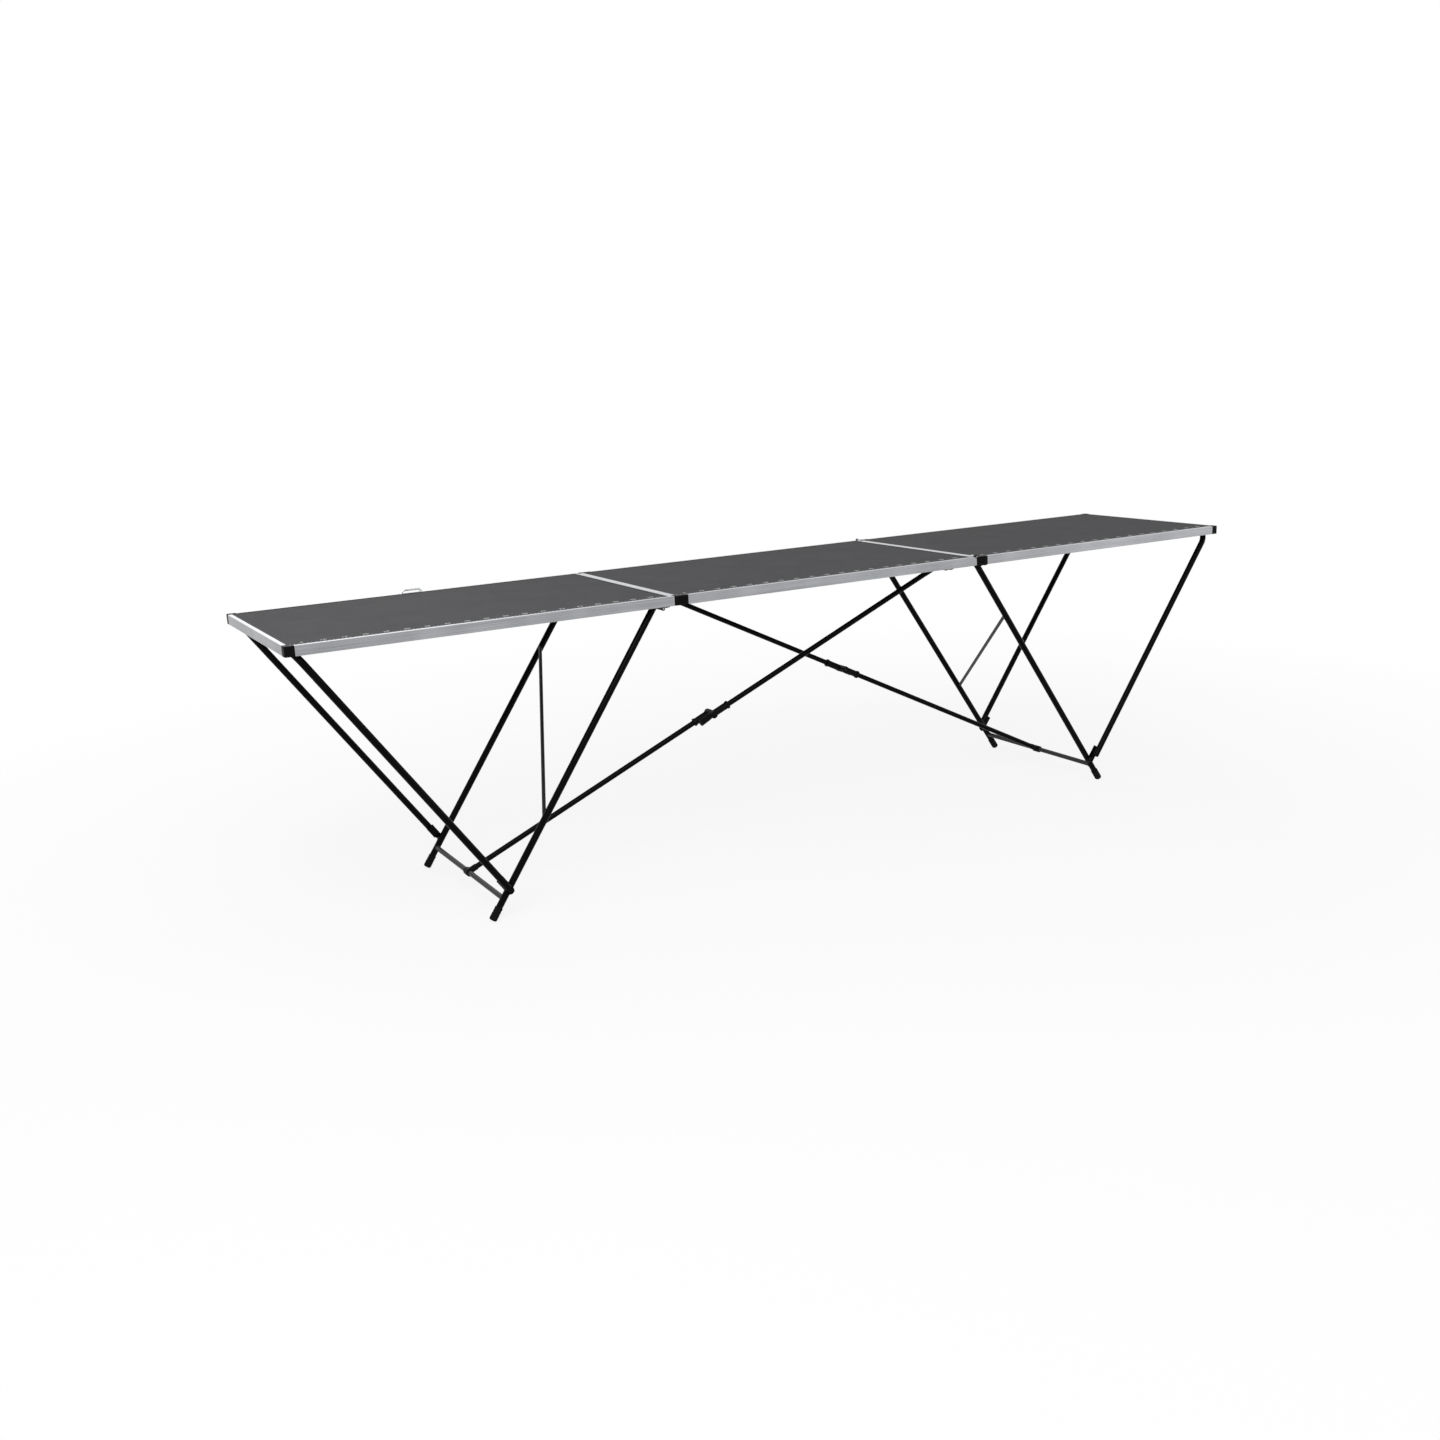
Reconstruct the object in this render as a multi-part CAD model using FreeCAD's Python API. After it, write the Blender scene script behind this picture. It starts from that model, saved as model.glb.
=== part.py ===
import FreeCAD, Part
import math
import os
from FreeCAD import Vector

# Table top. All sizes are in millimetres, +Z is up, the floor is z = 0
panel_pitch = 1000.0
joint_gap = 1.0
table_width = 600.0
table_height = 780.0
board_thick = 3.0
board_inset = 5.0

# Aluminium rail section
rail_height = 25.0
rail_wall = 1.5
rail_round = 1.0
lip_depth = 11.0
lip_thick = 1.0
ledge_depth = 8.5
ledge_thick = 1.0
flange_thick = 1.5

# Plastic corner blocks
corner_arm = 24.0
corner_round = 6.0
joint_arm = 40.0
joint_end_arm = 20.0

# Steel tube
tube_dia = 18.0
tube_wall = 1.2
brace_dia = 15.0
brace_wall = 1.2
crossbar_dia = 14.0

# Leg frame, measured along the leg from its pivot or up from its foot
tube_headroom = 2.0
leg_pivot_inset = 28.0
leg_spread = 520.0
leg_over = 5.0
crossbar_up = 65.0
strut_pin_up = 92.0
diagonal_from = 215.0
diagonal_up = 296.0
diagonal_width = 8.0
diagonal_thick = 3.0
diagonal_lift = 2.0
foot_dia = 21.0
foot_length = 40.0
foot_depth = 20.0
bolt_dia = 6.0
bolt_head_dia = 11.0
bolt_head_thick = 3.0
bracket_thick = 2.0
bracket_length = 28.0

# Strut frame
strut_side_gap = 2.0
strut_bar_gap = 1.0
strut_bend = 30.0
strut_pin_dia = 8.0
strut_pin_head = 13.0
pin_head_thick = 2.0
pin_head_gap = 0.7
paddle_thick = 4.0
paddle_round = 10.5
hook_length = 46.0
hook_pad_length = 28.0
hook_pad_width = 12.0
strut_past = 6.0
clip_row = 120.0
clip_width = 20.0
clip_wall = 1.7
clip_foot = 38.0
clip_foot_thick = 3.0

# Brace
brace_anchor_inset = 100.0
brace_anchor_rise = 1.0
brace_row_inset = 45.0
knee_spread = 22.0
knee_width = 20.0
knee_round = 10.5
collar_dia = 19.5
collar_length = 52.0
collar_ring_dia = 23.0
collar_ring_length = 6.0
tube_setback = 14.0
knee_pin_dia = 6.0
sleeve_width = 24.0
sleeve_wall = 3.2
sleeve_collar = 26.0
sleeve_collar_dia = 17.6
tongue_thick = 5.0
tongue_length = 55.0
tongue_setback = 26.0
brace_eye_dia = 18.0
brace_eye_width = 8.0
anchor_pin_dia = 8.0
anchor_plate_thick = 3.0
anchor_plate_half = 16.0

# Hinges
under_axis_drop = 16.0
under_row = 185.0
under_length = 50.0
knuckle_round = 5.0
leaf_thick = 2.0
under_pin_dia = 5.0
over_axis_rise = 0.5
ear_round = 4.5
ear_width = 10.6
over_pin_dia = 4.0
lug_arm = 28.0

# Carry handle
handle_rod_dia = 7.0
handle_base = 44.0
handle_crown = 22.0
handle_rise = 22.0
handle_lug_width = 14.0
handle_lug_half = 6.0
handle_bend = 9.0

# Clearances
free_play = 0.3
press_play = 0.05
side_play = 0.6

half_width = table_width / 2
joint_x = panel_pitch / 2
end_x = panel_pitch * 1.5
rail_base = table_height - rail_height
board_top = table_height - lip_thick
board_under = board_top - board_thick
tube_round = tube_dia / 2
cavity_axis = board_under - tube_headroom - tube_round
across = Vector(0, 1, 0)


def box(x0, x1, y0, y1, z0, z1):
    return Part.makeBox(x1 - x0, y1 - y0, z1 - z0, Vector(x0, y0, z0))


def rod(start, end, radius):
    run = end.sub(start)
    return Part.makeCylinder(radius, run.Length, start, run)


def pipe(start, end, radius, wall):
    return rod(start, end, radius).cut(rod(start, end, radius - wall))


def cross_rod(x, z, y0, y1, radius):
    return rod(Vector(x, y0, z), Vector(x, y1, z), radius)


def hexagon(x, z, y0, y1, radius):
    turns = [math.radians(60 * k) for k in range(7)]
    corners = [Vector(x + radius * math.cos(t), y0, z + radius * math.sin(t)) for t in turns]
    return Part.Face(Part.makePolygon(corners)).extrude(Vector(0, y1 - y0, 0))


def fused(first, *others):
    return first.multiFuse(list(others)).removeSplitter().Solids[0]


def trimmed(shape, *tools):
    return shape.cut(list(tools)).Solids[0]


def side_pair(shape):
    return [shape, shape.mirror(Vector(), across)]


def turned(shape):
    copy = shape.copy()
    copy.rotate(Vector(), Vector(0, 0, 1), 180)
    return copy


def placed(shape, x, y, z, angle):
    copy = shape.copy()
    copy.rotate(Vector(), Vector(0, 0, 1), angle)
    copy.translate(Vector(x, y, z))
    return copy


def ring_face(centre, direction, radius, wall):
    face = Part.Face(Part.Wire(Part.makeCircle(radius, centre, direction)))
    if wall:
        face = face.cut(Part.Face(Part.Wire(Part.makeCircle(radius - wall, centre, direction))))
    return face


def bent_rod(points, bend, radius, wall=0):
    pieces = []
    last = points[0]
    for before, corner, after in zip(points, points[1:], points[2:]):
        back = before.sub(corner).normalize()
        ahead = after.sub(corner).normalize()
        half = back.getAngle(ahead) / 2
        reach = bend / math.tan(half)
        centre = corner + (back + ahead).normalize() * (bend / math.sin(half))
        enter = corner + back * reach
        turn = math.degrees(math.pi - 2 * half)
        pieces.append(ring_face(last, back, radius, wall).extrude(enter.sub(last)))
        pieces.append(ring_face(enter, back, radius, wall).revolve(centre, ahead.cross(back), turn))
        last = corner + ahead * reach
    run = points[-1].sub(last)
    pieces.append(ring_face(last, run, radius, wall).extrude(run))
    return fused(*pieces)


def flat_bar(start, end, thick_dir, width, thick):
    run = end.sub(start)
    side = thick_dir.cross(run).normalize() * (width / 2)
    corners = [start + side, end + side, end - side, start - side, start + side]
    return Part.Face(Part.makePolygon(corners)).extrude(thick_dir * thick)


# Rails, boards and corner blocks
def rail(length):
    ledge_top = board_under - rail_base
    lip_under = rail_height - lip_thick
    section = [
        (0, 0),
        (lip_depth, 0),
        (lip_depth, flange_thick),
        (rail_wall, flange_thick),
        (rail_wall, ledge_top - ledge_thick),
        (ledge_depth, ledge_top - ledge_thick),
        (ledge_depth, ledge_top),
        (rail_wall, ledge_top),
        (rail_wall, lip_under),
        (lip_depth, lip_under),
        (lip_depth, rail_height),
        (0, rail_height),
        (0, 0),
    ]
    outline = Part.makePolygon([Vector(0, u, v) for u, v in section])
    bar = Part.Face(outline).extrude(Vector(length, 0, 0))
    outer = [e for e in bar.Edges if e.Length > length / 2 and abs(e.CenterOfMass.y) < 0.01]
    return bar.makeFillet(rail_round, outer)


def corner_block(arm_along, arm_end):
    along = box(0, arm_along, 0, lip_depth, 0, rail_height)
    end = box(0, lip_depth, 0, arm_end, 0, rail_height)
    block = fused(along, end)
    outer = [e for e in block.Edges if abs(e.CenterOfMass.x) < 0.01 and abs(e.CenterOfMass.y) < 0.01]
    block = block.makeFillet(corner_round, outer)
    slot = box(board_inset, arm_along, board_inset, arm_end, board_under - rail_base, board_top - rail_base)
    return block.cut(slot)


def front_corner(block, x, facing):
    copy = block.copy()
    if facing < 0:
        copy = copy.mirror(Vector(), Vector(1, 0, 0))
    return placed(copy, x, -half_width, rail_base, 0)


def panel(x0, x1, left_arm, right_arm, left_half, right_half):
    long_rail = rail(x1 - right_arm - x0 - left_arm)
    left_rail = rail(2 * left_half)
    right_rail = rail(2 * right_half)
    edge_y = half_width - board_inset
    return {
        "front": placed(long_rail, x0 + left_arm, -half_width, rail_base, 0),
        "back": placed(long_rail, x1 - right_arm, half_width, rail_base, 180),
        "left": placed(left_rail, x0, left_half, rail_base, -90),
        "right": placed(right_rail, x1, -right_half, rail_base, 90),
        "board": box(x0 + board_inset, x1 - board_inset, -edge_y, edge_y, board_under, board_top),
    }


left_x0 = -end_x
left_x1 = -joint_x - joint_gap / 2
middle_x0 = -joint_x + joint_gap / 2
middle_x1 = -middle_x0
right_x0 = -left_x1
right_x1 = end_x
cap_half = half_width - corner_arm
lug_half = half_width - lug_arm

left = panel(left_x0, left_x1, corner_arm, 0, cap_half, half_width - lip_depth)
middle = panel(middle_x0, middle_x1, joint_arm, 0, half_width - joint_end_arm, lug_half)
right = panel(right_x0, right_x1, joint_arm, corner_arm, cap_half, cap_half)

cap = corner_block(corner_arm, corner_arm)
left_caps = side_pair(front_corner(cap, left_x0, 1))
right_caps = side_pair(front_corner(cap, right_x1, -1))
middle_blocks = side_pair(front_corner(corner_block(joint_arm, joint_end_arm), middle_x0, 1))

# Joint between middle and right panel: ears over the top face
over_z = table_height + over_axis_rise
ear_in = half_width - ear_width
lug_out = half_width - lip_depth
lug_ear_out = ear_in - side_play
lug_ear_in = cap_half + side_play
notch_round = ear_round + side_play


def over_rod(y_in, y_out, radius):
    return cross_rod(joint_x, over_z, -y_out, -y_in, radius)


hinge_block = front_corner(corner_block(joint_arm, corner_arm), right_x0, 1)
hinge_block = hinge_block.cut(over_rod(cap_half - 1, lug_out + 0.1, notch_round))
hinge_block = fused(hinge_block, over_rod(ear_in, half_width, ear_round))
hinge_block = hinge_block.cut(over_rod(ear_in - 1, half_width + 1, over_pin_dia / 2 + free_play))

hinge_lug = box(middle_x1 - lip_depth, middle_x1, -lug_out, -lug_half, rail_base, table_height)
hinge_lug = hinge_lug.cut(middle["board"])
hinge_lug = fused(hinge_lug, over_rod(lug_ear_in, lug_ear_out, ear_round))
hinge_lug = hinge_lug.cut(over_rod(lug_half - 1, lug_out + 1, over_pin_dia / 2 + press_play))
over_pin = over_rod(lug_ear_in, half_width - press_play, over_pin_dia / 2)

ear_notch = over_rod(lug_out - 0.1, half_width + 1, notch_round)
middle["front"] = middle["front"].cut(ear_notch)
middle["back"] = middle["back"].cut(side_pair(ear_notch)[1])

# Joint between left and middle panel: strap hinges under the end rails
under_z = rail_base - under_axis_drop
under_mid = under_row + under_length / 2


def leaf(facing, row0, row1, play):
    near = -joint_x + facing * (knuckle_round - leaf_thick)
    far = -joint_x + facing * (joint_gap / 2 + lip_depth)
    strap = -joint_x + facing * knuckle_round
    plate = box(min(near, far), max(near, far), row0, row1, rail_base - leaf_thick, rail_base)
    web = box(min(near, strap), max(near, strap), row0, row1, under_z, rail_base)
    barrel = cross_rod(-joint_x, under_z, row0, row1, knuckle_round)
    bore = cross_rod(-joint_x, under_z, row0 - 1, row1 + 1, under_pin_dia / 2 + play)
    return fused(plate, web, barrel).cut(bore)


left_leaves = side_pair(leaf(-1, under_row, under_mid - free_play, press_play))
middle_leaves = side_pair(leaf(1, under_mid + free_play, under_row + under_length, free_play))
under_pin = cross_rod(-joint_x, under_z, under_row, under_row + under_length, under_pin_dia / 2)

# Leg frame of the left panel, the right one is the same turned half round
strut_row = half_width - lip_depth - strut_side_gap - tube_round
paddle_out = strut_row - tube_round - pin_head_gap - pin_head_thick - free_play
paddle_in = paddle_out - paddle_thick
leg_row = paddle_in - 1.0 - tube_round
leg_pivot = Vector(-joint_x - leg_pivot_inset, 0, cavity_axis)
leg_foot = Vector(leg_pivot.x - leg_spread, 0, 0)
leg_length = leg_foot.sub(leg_pivot).Length
leg_dir = leg_foot.sub(leg_pivot).normalize()
leg_face = leg_dir.cross(across)
if leg_face.z < 0:
    leg_face = leg_face * -1


def leg_point(along, row):
    return leg_pivot + leg_dir * along + across * row


leg_end = leg_length - foot_depth
leg_outer = [rod(leg_point(-leg_over, row), leg_point(leg_end, row), tube_round)
             for row in (-leg_row, leg_row)]
crossbar_mid = leg_point(leg_length - crossbar_up, 0)
pin_mid = leg_point(leg_length - strut_pin_up, 0)
bolt_hole = cross_rod(leg_pivot.x, leg_pivot.z, -half_width, half_width, bolt_dia / 2 + free_play)

leg_tube = pipe(leg_point(-leg_over, -leg_row), leg_point(leg_end, -leg_row), tube_round, tube_wall)
pin_hole = cross_rod(pin_mid.x, pin_mid.z, -half_width, -leg_row, strut_pin_dia / 2 + press_play)
leg_tubes = side_pair(leg_tube.cut(bolt_hole).cut(pin_hole))

crossbar = pipe(leg_point(leg_length - crossbar_up, -leg_row), leg_point(leg_length - crossbar_up, leg_row),
                crossbar_dia / 2, tube_wall)
crossbar = crossbar.cut(leg_outer[0]).cut(leg_outer[1])

lift = leg_face * diagonal_lift
diagonal = flat_bar(leg_point(diagonal_from, leg_row) + lift,
                    leg_point(leg_length - diagonal_up, -leg_row) + lift,
                    leg_face, diagonal_width, diagonal_thick)
diagonal = diagonal.cut(leg_outer[0]).cut(leg_outer[1])

foot = rod(leg_point(leg_end + foot_depth - foot_length, -leg_row), leg_point(leg_length + foot_dia, -leg_row),
           foot_dia / 2)
foot = foot.cut(rod(leg_point(0, -leg_row), leg_point(leg_end, -leg_row), tube_round + press_play))
foot = foot.common(box(-end_x, 0, -half_width, 0, 0, table_height))
feet = side_pair(foot)

pin_head_in = paddle_out + free_play
strut_pin = fused(cross_rod(pin_mid.x, pin_mid.z, -pin_head_in, -leg_row, strut_pin_dia / 2),
                  cross_rod(pin_mid.x, pin_mid.z, -pin_head_in - pin_head_thick, -pin_head_in,
                            strut_pin_head / 2))
strut_pins = side_pair(strut_pin)

cheek_in = leg_row + tube_round + side_play
cheek_out = cheek_in + bracket_thick
bracket_x0 = leg_pivot.x - bracket_length / 2
bracket_x1 = leg_pivot.x + bracket_length / 2
bracket_base = rail_base - bracket_thick
leg_bracket = fused(
    box(bracket_x0, bracket_x1, -cheek_out, -cheek_in, bracket_base, board_under - tube_headroom),
    box(bracket_x0, bracket_x1, -half_width + bracket_thick, -cheek_in, bracket_base, rail_base))
leg_bracket = leg_bracket.cut(cross_rod(leg_pivot.x, leg_pivot.z, -half_width, 0, bolt_dia / 2 + press_play))
leg_brackets = side_pair(leg_bracket)

bolt_in = leg_row - tube_round - side_play
leg_bolt = fused(
    cross_rod(leg_pivot.x, leg_pivot.z, -cheek_out, -bolt_in, bolt_dia / 2),
    hexagon(leg_pivot.x, leg_pivot.z, -cheek_out - bolt_head_thick, -cheek_out, bolt_head_dia / 2),
    hexagon(leg_pivot.x, leg_pivot.z, -bolt_in, -bolt_in + bolt_head_thick, bolt_head_dia / 2))
leg_bolts = side_pair(leg_bolt)

# Strut frame: one bent tube with a slotted hook plate on a pad inside each end, for the leg pins
strut_top = Vector(-end_x + lip_depth + strut_bar_gap + tube_round, 0, cavity_axis)
strut_dir = pin_mid.sub(strut_top).normalize()
strut_length = pin_mid.sub(strut_top).Length


def strut_point(along, row):
    return strut_top + strut_dir * along + across * row


strut_end_at = strut_length + strut_past
strut_path = [
    strut_point(strut_end_at, -strut_row),
    strut_point(0, -strut_row),
    strut_point(0, strut_row),
    strut_point(strut_end_at, strut_row),
]
strut_frame = bent_rod(strut_path, strut_bend, tube_round, tube_wall)
hook_top = strut_length - hook_length
hook_plate = fused(
    flat_bar(strut_point(hook_top, -paddle_out), strut_point(strut_length, -paddle_out), across,
             2 * paddle_round, paddle_thick),
    cross_rod(pin_mid.x, pin_mid.z, -paddle_out, -paddle_in, paddle_round))
hook_half = strut_pin_dia / 2 + free_play
hook_slot = cross_rod(pin_mid.x, pin_mid.z, -half_width, 0, hook_half).fuse(
    box(pin_mid.x - 3 * paddle_round, pin_mid.x, -half_width, 0,
        pin_mid.z - hook_half, pin_mid.z + hook_half))
hook_plate = trimmed(hook_plate, hook_slot)
hook_pad = flat_bar(strut_point(hook_top, -strut_row), strut_point(hook_top + hook_pad_length, -strut_row),
                    across, hook_pad_width, strut_row - paddle_out)
tube_inside = rod(strut_point(hook_top - 5, -strut_row), strut_point(strut_end_at, -strut_row),
                  tube_round - tube_wall)
hook_pad = trimmed(hook_pad, tube_inside)
strut_frame = fused(strut_frame, *side_pair(fused(hook_plate, hook_pad)))

clip_round = tube_round + free_play + clip_wall
strut_clip = fused(
    cross_rod(strut_top.x, strut_top.z, -clip_row - clip_width / 2, -clip_row + clip_width / 2, clip_round),
    box(strut_top.x, strut_top.x + clip_foot, -clip_row - clip_width / 2, -clip_row + clip_width / 2,
        board_under - clip_foot_thick, board_under))
strut_clip = strut_clip.cut(cross_rod(strut_top.x, strut_top.z, -half_width, 0, tube_round + free_play))
strut_clips = side_pair(strut_clip)

# Brace: both halves end to end from the crossbar to the middle panel, its knee at the same place once folded
anchor_row = half_width - brace_row_inset
anchor = Vector(joint_x - brace_anchor_inset, -anchor_row, cavity_axis + brace_anchor_rise)
folded_bar = Vector(2 * -joint_x - leg_pivot.x + leg_length - crossbar_up, 0, 2 * under_z - cavity_axis)
brace_run = Vector(anchor.x - crossbar_mid.x, 0, anchor.z - crossbar_mid.z)


def folded_halves(x):
    return math.hypot(folded_bar.x - x, folded_bar.z - under_z), math.hypot(anchor.x - x, anchor.z - under_z)


knee_low_x = -end_x
knee_high_x = anchor.x
for step in range(60):
    knee_fold_x = (knee_low_x + knee_high_x) / 2
    if sum(folded_halves(knee_fold_x)) > brace_run.Length:
        knee_low_x = knee_fold_x
    else:
        knee_high_x = knee_fold_x
lower_length, upper_length = folded_halves(knee_fold_x)
lower_share = lower_length / brace_run.Length
knee = crossbar_mid + brace_run * lower_share
knee_low_row = -(anchor_row - knee_spread) * lower_share
knee_low = knee + across * knee_low_row
knee_up = knee_low - across * knee_spread
lower_dir = knee_low.sub(crossbar_mid).normalize()
upper_dir = anchor.sub(knee_up).normalize()
brace_round = brace_dia / 2
collar_round = collar_dia / 2


def tube_bore(start, direction, length):
    return rod(start + direction * tube_setback, start + direction * length, brace_round + press_play)


def knee_socket(centre, direction, play):
    half = knee_width / 2
    eye = cross_rod(centre.x, centre.z, centre.y - half, centre.y + half, knee_round)
    collar = rod(centre, centre + direction * collar_length, collar_round)
    ring = rod(centre + direction * (collar_length - collar_ring_length), centre + direction * collar_length,
               collar_ring_dia / 2)
    socket = fused(eye, collar, ring)
    pin = cross_rod(centre.x, centre.z, centre.y - knee_width, centre.y + knee_width, knee_pin_dia / 2 + play)
    return socket.cut(tube_bore(centre, direction, collar_length + 1)).cut(pin)


lower_tube = pipe(crossbar_mid + lower_dir * tube_setback, knee_low - lower_dir * tube_setback,
                  brace_round, brace_wall)
upper_tube = pipe(knee_up + upper_dir * tube_setback, anchor - upper_dir * tongue_setback,
                  brace_round, brace_wall)
lower_socket = knee_socket(knee_low, lower_dir * -1, press_play)
upper_socket = knee_socket(knee_up, upper_dir, free_play)

pin_back = knee_low.y + knee_width / 2
pin_split = knee_low.y - knee_width / 2
pin_front = knee_up.y - knee_width / 2
knee_pin = cross_rod(knee.x, knee.z, pin_front, pin_back, knee_pin_dia / 2)
short_pin = cross_rod(knee.x, knee.z, pin_split, pin_back, knee_pin_dia / 2)
pin_stub = cross_rod(knee.x, knee.z, pin_front, knee_up.y + knee_width / 2, knee_pin_dia / 2 + free_play)

sleeve_bore = crossbar_dia / 2 + free_play
sleeve = fused(
    cross_rod(crossbar_mid.x, crossbar_mid.z, -sleeve_width / 2, sleeve_width / 2, sleeve_bore + sleeve_wall),
    rod(crossbar_mid, crossbar_mid + lower_dir * sleeve_collar, sleeve_collar_dia / 2))
sleeve = sleeve.cut(cross_rod(crossbar_mid.x, crossbar_mid.z, -sleeve_width, sleeve_width, sleeve_bore))
sleeve = sleeve.cut(tube_bore(crossbar_mid, lower_dir, sleeve_collar + 1))

tongue_side = upper_dir.cross(across).normalize()
tongue_face = tongue_side.cross(upper_dir).normalize()
tongue_lift = tongue_face * (tongue_thick / 2)
tongue = flat_bar(anchor - upper_dir * tongue_length - tongue_lift, anchor - tongue_lift, tongue_face,
                  brace_dia, tongue_thick)
upper_tube = upper_tube.cut(tongue)
plate_in = anchor_row + brace_eye_width / 2 + anchor_plate_thick
plate_out = plate_in + anchor_plate_thick
brace_end = fused(
    tongue,
    cross_rod(anchor.x, anchor.z, anchor.y - brace_eye_width / 2, anchor.y + brace_eye_width / 2,
              brace_eye_dia / 2),
    cross_rod(anchor.x, anchor.z, -plate_out - leaf_thick, anchor.y, anchor_pin_dia / 2))

hook_half = anchor_pin_dia / 2 + free_play
anchor_bracket = fused(
    box(anchor.x - anchor_plate_half, anchor.x + anchor_plate_half, -plate_out, -plate_in, bracket_base,
        board_under - tube_headroom / 2),
    box(anchor.x - anchor_plate_half, anchor.x + anchor_plate_half,
        -half_width + anchor_plate_thick, -plate_in, bracket_base, rail_base))
anchor_slot = cross_rod(anchor.x, anchor.z, -plate_out - 1, -plate_in + 1, hook_half).fuse(
    box(anchor.x - hook_half, anchor.x + hook_half, -plate_out - 1, -plate_in + 1,
        bracket_base - 1, anchor.z))
anchor_bracket = anchor_bracket.cut(anchor_slot)

# Carry handle: a bail of bent rod on two lugs of the left back rail
handle_round = handle_rod_dia / 2
lug_depth = handle_rod_dia + 2 * 2.0
handle_y = half_width + lug_depth / 2
handle_z = cavity_axis
handle_x = -panel_pitch
lug_in = handle_base + handle_bend
lug_far = lug_in + handle_lug_width
handle = bent_rod([
    Vector(handle_x - lug_far, handle_y, handle_z),
    Vector(handle_x - handle_base, handle_y, handle_z),
    Vector(handle_x - handle_crown, handle_y, handle_z + handle_rise),
    Vector(handle_x + handle_crown, handle_y, handle_z + handle_rise),
    Vector(handle_x + handle_base, handle_y, handle_z),
    Vector(handle_x + lug_far, handle_y, handle_z),
], handle_bend, handle_round)


def handle_lug(x0, x1):
    barrel = rod(Vector(x0, handle_y, handle_z), Vector(x1, handle_y, handle_z), lug_depth / 2)
    pad = box(x0, x1, half_width, handle_y, handle_z - lug_depth / 2 - 3, handle_z + lug_depth / 2 + 3)
    bore = rod(Vector(x0, handle_y, handle_z), Vector(x1, handle_y, handle_z), handle_round + free_play)
    return fused(barrel, pad).cut(bore)


handle_lugs = [
    handle_lug(handle_x - lug_far, handle_x - lug_in),
    handle_lug(handle_x + lug_in, handle_x + lug_far),
]

nodes = {
    "left_board": [left["board"]],
    "left_front_rail": [left["front"]],
    "left_back_rail": [left["back"]],
    "left_outer_end_rail": [left["left"]],
    "left_inner_end_rail": [left["right"]],
    "left_corner_blocks": left_caps,
    "left_hinge_leaves": left_leaves,
    "left_hinge_pins": side_pair(under_pin),
    "left_handle_lugs": handle_lugs,
    "carry_handle": [handle],
    "middle_board": [middle["board"]],
    "middle_front_rail": [middle["front"]],
    "middle_back_rail": [middle["back"]],
    "middle_left_end_rail": [middle["left"]],
    "middle_right_end_rail": [middle["right"]],
    "middle_corner_blocks": middle_blocks,
    "middle_hinge_leaves": middle_leaves,
    "middle_hinge_lugs": side_pair(hinge_lug),
    "middle_hinge_pins": side_pair(over_pin),
    "middle_brace_brackets": [anchor_bracket, turned(anchor_bracket)],
    "right_board": [right["board"]],
    "right_front_rail": [right["front"]],
    "right_back_rail": [right["back"]],
    "right_inner_end_rail": [right["left"]],
    "right_outer_end_rail": [right["right"]],
    "right_corner_blocks": right_caps,
    "right_hinge_blocks": side_pair(hinge_block),
}
under_frame = {
    "leg_brackets": leg_brackets,
    "leg_bolts": leg_bolts,
    "strut_clips": strut_clips,
    "leg_tubes": leg_tubes,
    "leg_crossbar": [crossbar],
    "leg_diagonal": [diagonal],
    "leg_feet": feet,
    "strut_pins": strut_pins,
    "strut_frame": [strut_frame],
    "brace_lower_tube": [lower_tube],
    "brace_sleeve": [sleeve],
    "knee_lower_socket": [lower_socket],
    "knee_pin": [knee_pin],
    "brace_upper_tube": [upper_tube],
    "knee_upper_socket": [upper_socket],
    "brace_end": [brace_end],
}
for name, solids in under_frame.items():
    nodes["left_" + name] = solids
    nodes["right_" + name] = [turned(solid) for solid in solids]

# The left knee comes apart as the table folds, so each half keeps its own half of the pin
nodes["left_knee_pin"] = [short_pin]
nodes["left_knee_upper_socket"] = [fused(upper_socket, pin_stub)]

# The handle stands out behind, so everything moves forward to centre the outer box on the origin
centre_y = -lug_depth / 2
os.makedirs("parts", exist_ok=True)
for name, solids in nodes.items():
    shape = Part.makeCompound(solids) if len(solids) > 1 else solids[0]
    shape.translate(Vector(0, centre_y, 0))
    shape.exportStep("parts/" + name + ".step")
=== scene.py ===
import bmesh
import bpy
import math
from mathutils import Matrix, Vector


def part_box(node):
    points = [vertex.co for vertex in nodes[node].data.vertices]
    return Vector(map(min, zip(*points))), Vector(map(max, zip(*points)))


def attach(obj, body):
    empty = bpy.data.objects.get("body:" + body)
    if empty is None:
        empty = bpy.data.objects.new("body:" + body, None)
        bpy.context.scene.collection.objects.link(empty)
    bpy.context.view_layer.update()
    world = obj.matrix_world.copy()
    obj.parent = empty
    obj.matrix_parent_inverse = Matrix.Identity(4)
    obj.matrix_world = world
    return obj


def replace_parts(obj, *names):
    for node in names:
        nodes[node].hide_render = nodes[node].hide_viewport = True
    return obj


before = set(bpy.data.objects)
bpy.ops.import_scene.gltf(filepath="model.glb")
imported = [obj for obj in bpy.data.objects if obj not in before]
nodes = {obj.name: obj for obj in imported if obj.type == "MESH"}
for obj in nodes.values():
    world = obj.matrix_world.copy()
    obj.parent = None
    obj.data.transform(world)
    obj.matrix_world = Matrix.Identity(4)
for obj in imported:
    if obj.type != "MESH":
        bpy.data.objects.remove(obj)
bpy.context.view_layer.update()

mm = 0.001
sides = ("left", "right")
crease = math.radians(40)
print("frame loaded:", len(nodes), "nodes")


def hexColour(code):
    # sRGB hex to the linear values that the sockets take
    parts = [int(code[i:i + 2], 16) / 255 for i in (1, 3, 5)]
    linear = [p / 12.92 if p <= 0.04045 else ((p + 0.055) / 1.055) ** 2.4 for p in parts]
    return (*linear, 1.0)


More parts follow.
